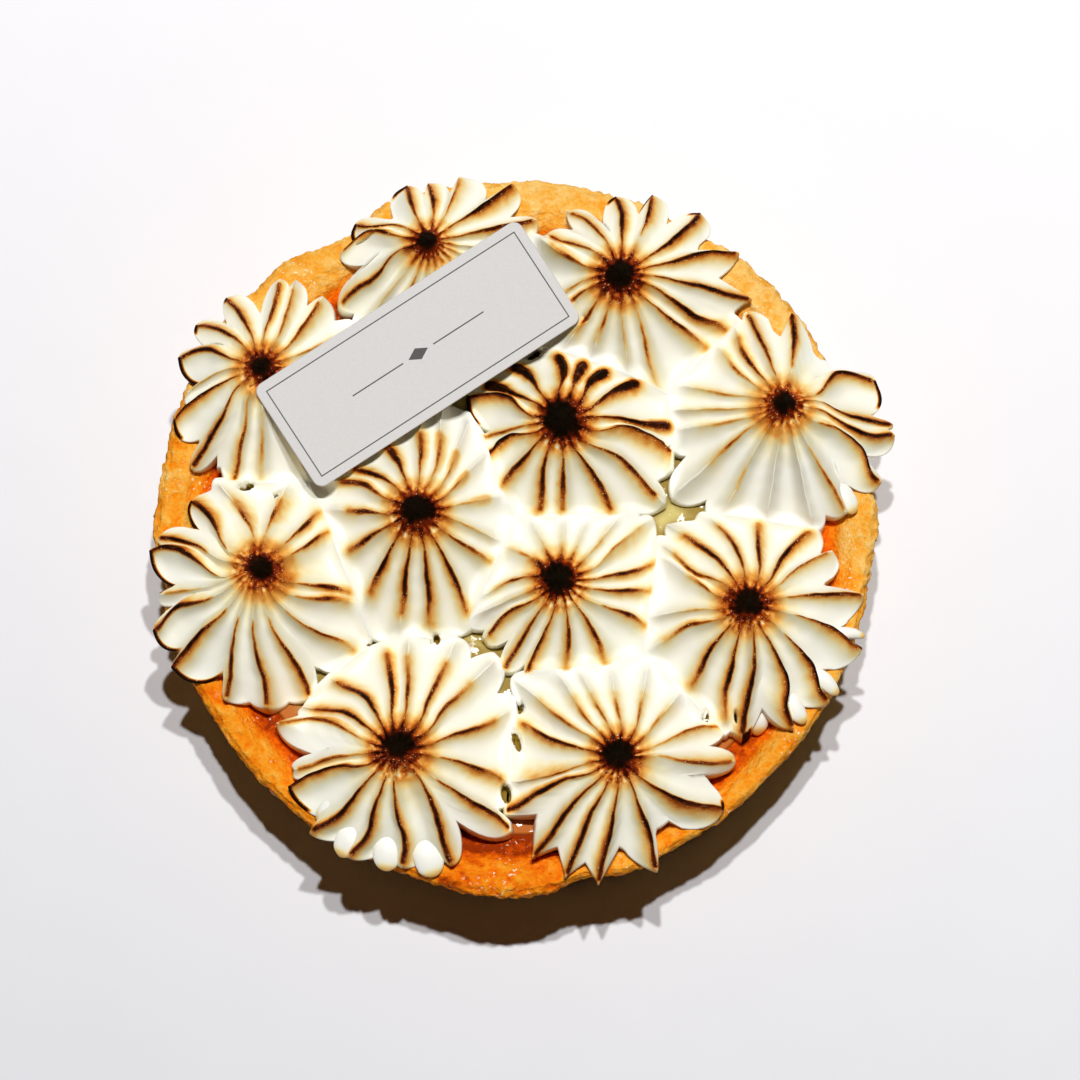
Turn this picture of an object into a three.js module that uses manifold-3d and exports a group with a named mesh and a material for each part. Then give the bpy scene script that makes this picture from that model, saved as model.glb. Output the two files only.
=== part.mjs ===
// A small round lemon meringue pie. A shortcrust case holds set lemon curd, eleven meringue
// rosettes piped through a sixteen-tooth star nozzle cover it, and a bare label card lies on them.
// Millimetres, +Z up, +Y to the back of the pie. The origin is the centre of the flat base.

import * as THREE from "three";
import { mergeVertices } from "three/addons/utils/BufferGeometryUtils.js";
import Module from "manifold-3d";

const wasm = await Module();
wasm.setup();

// ---- Driving dimensions ----

const GAP = 0.3; // between a piece and what it rests on
const BORDER_GAP = 0.4; // between two rosettes that press together

const CRUST = {
  outerRadius: 64.3, // rim, before its unevenness
  baseRadius: 59.5, // the wall leans out from here
  innerTopRadius: 58.6,
  innerFloorRadius: 56,
  floorThickness: 4,
  height: 25.4, // top of the rim
  edgeHeight: 22.6, // where the rim rounds over into the wall
  innerEdgeHeight: 23.6,
  segments: 96,
};

// The rim is pushed off round, mostly to the back left, and crumbs have broken from its edge.
const RIM_PUSH = { bearing: 120, amount: 1.1 };
const RIM_CHIPS = [
  { bearing: 117, halfWidth: 7, depth: 2.2 },
  { bearing: 186, halfWidth: 8, depth: 1.2 },
  { bearing: 281, halfWidth: 6, depth: 1.6 },
  { bearing: 318, halfWidth: 30, depth: 1.2 },
];
const CRUMB_RELIEF = 0.35;

const CURD = { topHeight: 20, edgeDip: 0.4, segments: 64 };

// Each rosette stands on the curd. Its reach is how far its ridge tips would lie from the peak with
// nothing beside it, seen from above, to the east, north, west and south. Where two rosettes press
// together, "push" sets how much of the room between them each takes. "turn" is the bearing of the
// first ridge.
const RIDGES = 16;
const ROSETTES = [
  { peak: [-45.8, 28.8, 36.6], reach: [21, 16.5, 15.5, 21], push: 18, turn: 9 },
  { peak: [-15.8, 52.0, 36.4], reach: [20, 13.5, 17.5, 21], push: 17, turn: 15 },
  { peak: [18.3, 46.0, 36.6], reach: [23, 16, 20, 22], push: 19, turn: 12 },
  { peak: [47.4, 22.3, 37.2], reach: [18.5, 18.5, 22, 22], push: 19, turn: 13 },
  { peak: [7.9, 19.2, 37.6], reach: [22, 19, 20, 20], push: 19.5, turn: 7 },
  { peak: [-18.1, 2.8, 38.2], reach: [20, 23, 21, 22], push: 19, turn: 19 },
  { peak: [-46.2, -7.5, 37.4], reach: [22, 20, 18.5, 23.5], push: 19, turn: 8 },
  { peak: [7.5, -9.5, 34.8], reach: [20, 18, 18, 20], push: 15.5, turn: 16 },
  { peak: [40.6, -14.2, 36.8], reach: [20.5, 20.5, 20.5, 21.5], push: 18.5, turn: 6 },
  { peak: [-21.5, -40.3, 37.0], reach: [21.5, 22, 18.5, 21], push: 19, turn: 2 },
  { peak: [17.7, -41.4, 36.8], reach: [20.5, 22, 21, 21.5], push: 19, turn: 0 },
];
const TIP_HEIGHT = 24; // ridge tips over the curd
const RIM_TIP_HEIGHT = 28.2; // ridge tips that lie over the rim
const TIP_RISE = { from: 49, to: 58 }; // distance from the origin over which the tips rise
const PEAK_NIPPLE = { height: 0.07, width: 0.06 }; // shares of the height and reach
const CHANNEL_DEPTH = 2.8; // of the hollows between ridges, at their deepest
const CHANNEL_NOTCH = 0.11; // how far a hollow stops short of its ridges, as a share of their reach
const FOOT_SHARE = 0.93; // the foot tucks in under the tips
const TIP_UNEVENNESS = 0.05;
const ROSETTE_RINGS = [0.08, 0.2, 0.36, 0.53, 0.7, 0.86, 1]; // shares of the reach

const CARD = {
  length: 56.5,
  width: 21.6,
  thickness: 0.5,
  cornerRadius: 1,
  centre: [-17.9, 32.2, 31.5], // of its underside
  heading: 33.7, // of its long side, from +X
  drop: 0.6, // to its right-hand end
  lean: 3.4, // to its front edge
  pressHeight: 12, // over which the meringue is pressed clear of it
};

// ---- Colours ----

const MERINGUE = new THREE.MeshStandardMaterial({ color: 0xf6f2e6, roughness: 0.55, metalness: 0 });
const SHORTCRUST = new THREE.MeshStandardMaterial({ color: 0xdf9440, roughness: 0.8, metalness: 0 });
const LEMON_CURD = new THREE.MeshStandardMaterial({ color: 0xc9b964, roughness: 0.15, metalness: 0 });
const WHITE_CARD = new THREE.MeshStandardMaterial({ color: 0xe4e2df, roughness: 0.6, metalness: 0 });

// ---- Helpers ----

const radians = THREE.MathUtils.degToRad;

/** A repeatable unevenness between -1 and 1 for item `index` of series `seed`. */
function uneven(seed, index) {
  return Math.sin(seed * 12.9898 + index * 78.233) * Math.cos(seed * 4.1 + index * 2.7);
}

/** The signed angle from bearing `b` to bearing `a`, in degrees, between -180 and 180. */
function turnBetween(a, b) {
  return ((((a - b + 180) % 360) + 360) % 360) - 180;
}

/** The same surface with only its positions, and its shared vertices merged. */
function merged(geometry) {
  const bare = geometry.clone();
  bare.deleteAttribute("normal");
  bare.deleteAttribute("uv");
  return mergeVertices(bare, 1e-4);
}

/** A manifold solid of a closed geometry, without the empty triangles on a lathe's axis. */
function toSolid(geometry) {
  const shape = merged(geometry);
  const corners = shape.index.array;
  const triangles = [];
  for (let i = 0; i < corners.length; i += 3) {
    const [a, b, c] = [corners[i], corners[i + 1], corners[i + 2]];
    if (a !== b && b !== c && c !== a) {
      triangles.push(a, b, c);
    }
  }
  const mesh = new wasm.Mesh({
    numProp: 3,
    vertProperties: shape.attributes.position.array,
    triVerts: new Uint32Array(triangles),
  });
  return new wasm.Manifold(mesh);
}

/** A geometry of a manifold solid. */
function toGeometry(solid) {
  const mesh = solid.getMesh();
  const geometry = new THREE.BufferGeometry();
  geometry.setAttribute("position", new THREE.BufferAttribute(mesh.vertProperties, 3));
  geometry.setIndex(new THREE.BufferAttribute(mesh.triVerts, 1));
  geometry.computeVertexNormals();
  return geometry;
}

/** A solid of revolution about +Z. `profile` is closed, as [radius, height] pairs going up outside. */
function lathe(profile, segments) {
  const points = profile.map(([radius, height]) => new THREE.Vector2(radius, height));
  const geometry = new THREE.LatheGeometry(points, segments);
  return geometry.rotateX(Math.PI / 2);
}

/** Moves every vertex of `geometry` to where `move(x, y, z)` says. */
function reshape(geometry, move) {
  const position = geometry.attributes.position;
  for (let i = 0; i < position.count; i += 1) {
    const place = move(position.getX(i), position.getY(i), position.getZ(i));
    position.setXYZ(i, ...place);
  }
  return geometry;
}

// ---- Shortcrust case ----

/** How far the rim's outer edge is from `CRUST.outerRadius` at a bearing in degrees. */
function rimOffset(bearing) {
  let offset = RIM_PUSH.amount * Math.cos(radians(bearing - RIM_PUSH.bearing));
  offset += CRUMB_RELIEF * Math.sin(radians(7 * bearing)) * Math.cos(radians(3 * bearing + 40));
  for (const chip of RIM_CHIPS) {
    const across = turnBetween(bearing, chip.bearing) / chip.halfWidth;
    if (Math.abs(across) < 1) {
      offset -= chip.depth * (1 - across * across) ** 2;
    }
  }
  return offset;
}

function crustGeometry() {
  const c = CRUST;
  const rimMiddle = (c.outerRadius + c.innerTopRadius) / 2;
  const profile = [
    [0, 0],
    [c.baseRadius - 1, 0],
    [c.baseRadius, 1],
    [c.outerRadius - 1.6, c.edgeHeight - 4],
    [c.outerRadius, c.edgeHeight],
    [c.outerRadius - 0.4, c.height - 1],
    [rimMiddle + 0.9, c.height],
    [rimMiddle - 1, c.height - 0.2],
    [c.innerTopRadius, c.innerEdgeHeight],
    [c.innerFloorRadius, c.floorThickness],
    [0, c.floorThickness],
  ];
  return reshape(lathe(profile, c.segments), (x, y, z) => {
    const radius = Math.hypot(x, y);
    if (radius < c.innerTopRadius + 0.01 || z < 1.01) {
      return [x, y, z];
    }
    const bearing = THREE.MathUtils.radToDeg(Math.atan2(y, x));
    const outside = (radius - c.innerTopRadius) / (c.outerRadius - c.innerTopRadius);
    const scale = (radius + outside * rimOffset(bearing)) / radius;
    const bump = z > c.edgeHeight ? CRUMB_RELIEF * (Math.sin(radians(11 * bearing + 60 * z)) - 1) : 0;
    return [x * scale, y * scale, z + bump];
  });
}

/** What a rosette can't enter: the case and all that lies outside it below the rim, grown by the gap. */
function crustSurround() {
  const c = CRUST;
  const far = 100;
  const profile = [
    [c.innerFloorRadius - GAP, c.floorThickness],
    [far, c.floorThickness],
    [far, c.height + GAP],
    [c.innerTopRadius + 1, c.height + GAP],
    [c.innerTopRadius - GAP, c.innerEdgeHeight + GAP],
    [c.innerFloorRadius - GAP, c.floorThickness],
  ];
  return toSolid(lathe(profile, c.segments));
}

// ---- Lemon curd ----

function curdGeometry() {
  const bottom = CRUST.floorThickness + GAP;
  const slope = (CRUST.innerTopRadius - CRUST.innerFloorRadius) / (CRUST.innerEdgeHeight - CRUST.floorThickness);
  const radiusAt = (height) => CRUST.innerFloorRadius - GAP + slope * (height - CRUST.floorThickness);
  const edge = CURD.topHeight - CURD.edgeDip;
  const profile = [
    [0, bottom],
    [radiusAt(bottom), bottom],
    [radiusAt(edge), edge],
    [radiusAt(edge) - 3, CURD.topHeight],
    [0, CURD.topHeight],
  ];
  return lathe(profile, CURD.segments);
}

// ---- Meringue rosettes ----

/** The reach at an angle, blended between the two nearest of the four that a rosette states. */
function ownReach(rosette, angle) {
  const [east, north, west, south] = rosette.reach;
  const across = Math.cos(angle) > 0 ? east : west;
  const along = Math.sin(angle) > 0 ? north : south;
  return across * Math.cos(angle) ** 2 + along * Math.sin(angle) ** 2;
}

/** How far a rosette can reach at an angle before the rosettes beside it stop it. */
function pressedReach(rosette, angle) {
  let reach = Infinity;
  for (const other of ROSETTES) {
    if (other === rosette) {
      continue;
    }
    const dx = other.peak[0] - rosette.peak[0];
    const dy = other.peak[1] - rosette.peak[1];
    const apart = Math.hypot(dx, dy);
    const won = (rosette.push ** 2 - other.push ** 2) / (2 * apart);
    const toBorder = apart / 2 + won - BORDER_GAP / 2;
    const facing = (Math.cos(angle) * dx + Math.sin(angle) * dy) / apart;
    if (facing > 0) {
      reach = Math.min(reach, toBorder / facing);
    }
  }
  return reach;
}

/** The height of a ridge tip, which rises where it lies over the rim. */
function tipHeight(x, y) {
  const rise = THREE.MathUtils.smoothstep(Math.hypot(x, y), TIP_RISE.from, TIP_RISE.to);
  return THREE.MathUtils.lerp(TIP_HEIGHT, RIM_TIP_HEIGHT, rise);
}

/** The share of a rosette's height that its ridges have lost at a share of their reach. */
function lost(share) {
  const nipple = PEAK_NIPPLE.height * (1 - Math.exp(-share / PEAK_NIPPLE.width)) * (1 - share);
  return 0.86 * share + 0.14 * share ** 3 + nipple;
}

/** One rosette, with three columns of vertices to each ridge: its crest and the hollow beside it. */
function rosetteGeometry(rosette, seed) {
  const [peakX, peakY, peakZ] = rosette.peak;
  const foot = CURD.topHeight + GAP;
  const perRidge = 3;
  const columns = RIDGES * perRidge;
  const rings = ROSETTE_RINGS.length + 1;
  const positions = [peakX, peakY, peakZ];
  for (const [row, out] of [...ROSETTE_RINGS, FOOT_SHARE].entries()) {
    const isFoot = row === rings - 1;
    for (let column = 0; column < columns; column += 1) {
      const ridge = Math.floor((column + 1) / perRidge) % RIDGES;
      const isCrest = column % perRidge === 0;
      const angle = radians(rosette.turn + (360 / columns) * (column + 0.35 * uneven(seed, ridge)));
      const free = ownReach(rosette, angle) * (1 - TIP_UNEVENNESS * (0.5 + 0.5 * uneven(seed + 3, ridge)));
      const edge = isCrest ? free : free * (1 - CHANNEL_NOTCH);
      const radius = out * Math.min(edge, pressedReach(rosette, angle));
      const tip = tipHeight(peakX + Math.cos(angle) * free, peakY + Math.sin(angle) * free);
      const sunk = isCrest ? 0 : CHANNEL_DEPTH * Math.sin(1.9 * (radius / free));
      const height = isFoot ? foot : peakZ - (peakZ - tip) * lost(radius / free) - sunk;
      positions.push(peakX + radius * Math.cos(angle), peakY + radius * Math.sin(angle), height);
    }
  }
  positions.push(peakX, peakY, foot);

  const last = positions.length / 3 - 1;
  const at = (ring, column) => 1 + ring * columns + (column % columns);
  const index = [];
  for (let column = 0; column < columns; column += 1) {
    index.push(0, at(0, column), at(0, column + 1));
    for (let ring = 0; ring < rings - 1; ring += 1) {
      index.push(at(ring, column), at(ring + 1, column), at(ring + 1, column + 1));
      index.push(at(ring, column), at(ring + 1, column + 1), at(ring, column + 1));
    }
    index.push(last, at(rings - 1, column + 1), at(rings - 1, column));
  }
  const geometry = new THREE.BufferGeometry();
  geometry.setAttribute("position", new THREE.Float32BufferAttribute(positions, 3));
  geometry.setIndex(index);
  return geometry;
}

// ---- Label card ----

/** The card's outline, grown by `margin`, as a plate with its underside at z = 0. */
function cardGeometry(margin, thickness) {
  const corner = CARD.cornerRadius + margin;
  const [x, y] = [CARD.length / 2 - CARD.cornerRadius, CARD.width / 2 - CARD.cornerRadius];
  const outline = new THREE.Shape();
  outline.absarc(x, -y, corner, -Math.PI / 2, 0);
  outline.absarc(x, y, corner, 0, Math.PI / 2);
  outline.absarc(-x, y, corner, Math.PI / 2, Math.PI);
  outline.absarc(-x, -y, corner, Math.PI, Math.PI * 1.5);
  return new THREE.ExtrudeGeometry(outline, { depth: thickness, bevelEnabled: false, curveSegments: 4 });
}

function placeCard(object) {
  object.position.set(...CARD.centre);
  object.rotation.order = "ZYX";
  object.rotation.z = radians(CARD.heading);
  object.rotation.y = Math.asin(CARD.drop / CARD.length);
  object.rotation.x = Math.asin(CARD.lean / CARD.width);
  object.updateMatrix();
  return object;
}

/** The room that the card presses clear in the meringue under it. */
function cardPress() {
  const plate = cardGeometry(GAP, CARD.pressHeight + GAP).translate(0, 0, -GAP);
  return toSolid(plate.applyMatrix4(placeCard(new THREE.Object3D()).matrix));
}

// ---- The pie ----

const pie = new THREE.Group();

/** Adds a named piece to the pie. */
function add(name, geometry, material) {
  const piece = new THREE.Mesh(geometry, material);
  piece.name = name;
  pie.add(piece);
  return piece;
}

add("crust", crustGeometry(), SHORTCRUST);
add("lemon_curd", curdGeometry(), LEMON_CURD);

const surround = crustSurround();
const press = cardPress();
ROSETTES.forEach((rosette, index) => {
  const solid = toSolid(rosetteGeometry(rosette, index + 1)).subtract(surround).subtract(press);
  const name = `rosette_${String(index + 1).padStart(2, "0")}`;
  add(name, toGeometry(solid), MERINGUE);
});

placeCard(add("label_card", cardGeometry(0, CARD.thickness), WHITE_CARD));

export default pie;
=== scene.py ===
import math
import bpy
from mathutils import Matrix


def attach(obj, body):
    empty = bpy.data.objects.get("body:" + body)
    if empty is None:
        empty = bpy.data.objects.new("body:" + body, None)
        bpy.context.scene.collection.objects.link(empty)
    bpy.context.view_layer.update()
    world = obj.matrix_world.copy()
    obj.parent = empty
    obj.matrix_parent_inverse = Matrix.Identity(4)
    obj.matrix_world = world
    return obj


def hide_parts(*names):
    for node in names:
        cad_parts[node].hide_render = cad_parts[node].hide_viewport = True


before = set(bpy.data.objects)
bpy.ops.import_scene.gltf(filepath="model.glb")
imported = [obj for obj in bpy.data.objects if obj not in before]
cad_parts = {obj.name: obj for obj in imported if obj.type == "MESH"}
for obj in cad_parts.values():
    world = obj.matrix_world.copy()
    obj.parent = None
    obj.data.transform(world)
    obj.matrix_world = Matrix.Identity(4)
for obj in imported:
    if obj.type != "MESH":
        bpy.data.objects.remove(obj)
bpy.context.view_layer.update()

from types import SimpleNamespace

import bpy
import numpy as np
from mathutils import Euler, Vector

# A lemon meringue pie seen almost straight down: golden shortcrust, glossy lemon curd, eleven
# piped rosettes with torched ridges, and a plain label card. Shapes are worked out in millimetres,
# with +Z up and the origin at the centre of the pie's base, and become meshes in metres.
MM = 0.001

# ---- The view and the light ----

VIEW_TILT = math.radians(11)  # off straight down, towards the front
VIEW_DISTANCE = 900
VIEW_TARGET = (3.9, -0.2, 24)
VIEW_WIDTH = 193.3  # seen across the frame at the target
SENSOR = 36
LAMPS = ((-0.05, 0.42, 2.0), (0.19, 0.43, 2.0))  # m
LAMP_SIZE = 0.055
LAMP_POWER = 22.0
ROOM_COLOUR = (0.93, 1.0, 0.90, 1)
ROOM_LIGHT = 0.007

# ---- Shortcrust case and curd, as in the CAD ----

RIM_RADIUS = 64.3
RIM_HEIGHT = 25.4
RIM_EDGE_HEIGHT = 22.6
INNER_RADIUS = 57.9
INNER_EDGE_HEIGHT = 23.6
BASE_RADIUS = 59.5
FLOOR_THICKNESS = 4
FLOOR_RADIUS = 56
RIM_PUSH = (120, 1.1)  # bearing, amount
# Places where the rim stands out or, where negative, is chipped: bearing, half width, amount.
RIM_SWELLS = (
    (92, 75, 1.2), (150, 40, 1.1), (180, 12, 0.6), (268, 17, 1.5), (4, 10, 1.1), (48, 20, 0.5),
    (120, 9, -2.6), (186, 8, -1.2), (216, 24, -1.1), (281, 6, -1.2), (297, 9, -0.8), (318, 30, -1.2),
)
CRUMB_RELIEF = 0.35
CURD_HEIGHT = 20
CURD_RADIUS = 53  # where the curd meets the fillet inside the case
CRUST_COLUMNS = 840
CURD_COLUMNS = 240

# ---- Label card, as in the CAD ----

CARD_SIZE = (56.5, 21.6, 0.5)
CARD_CENTRE = (-17.9, 32.2, 31.5)  # of its underside
CARD_HEADING = 33.7
CARD_DROP = 0.6
CARD_LEAN = 3.4
CARD_CORNER = 1.7
CARD_MARGIN = 1.9  # from the edge to the inner side of the printed border
CARD_LINE = 0.22
CARD_RULES = (3.2, 14.0, 0.12)  # each rule's start and end from the middle, and its half width

# ---- Rosettes ----

# Reach of the ridge tips from the peak with nothing beside them, to the east, north, west and
# south; the radii of the char and of the caramel round it; how heavy the heads of the burns are;
# and how far the char's centre is east and north of the peak.
ROSETTES = {
    "rosette_01": ((21, 16.5, 15.5, 21), 1.7, 3.5, 0.2, (0, 0.2)),
    "rosette_02": ((20, 13.5, 17.5, 21), 1.7, 3.1, 0.2, (-0.3, 0.3)),
    "rosette_03": ((23, 16, 20, 22), 2.6, 4.2, 0.1, (-0.1, 0)),
    "rosette_04": ((18.5, 18.5, 22, 22), 1.9, 3.85, 0.1, (-0.5, -0.2)),
    "rosette_05": ((22, 19, 20, 20), 3.1, 4.6, 2.6, (0, 0.7)),
    "rosette_06": ((20, 23, 21, 22), 2.8, 4.5, 0.8, (0.4, 0.3)),
    "rosette_07": ((22, 20, 18.5, 23.5), 1.9, 4.1, 0.2, (1.2, 0)),
    "rosette_08": ((20, 18, 18, 20), 2.8, 4.2, 0.1, (-0.4, 1.1)),
    "rosette_09": ((20.5, 20.5, 20.5, 21.5), 2.1, 4.25, 0.3, (0, 0.6)),
    "rosette_10": ((21.5, 22, 18.5, 21), 2.5, 4.4, 0.3, (0.8, 1.2)),
    "rosette_11": ((20.5, 22, 21, 21.5), 2.4, 4.0, 0.1, (0, 0.9)),
}

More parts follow.
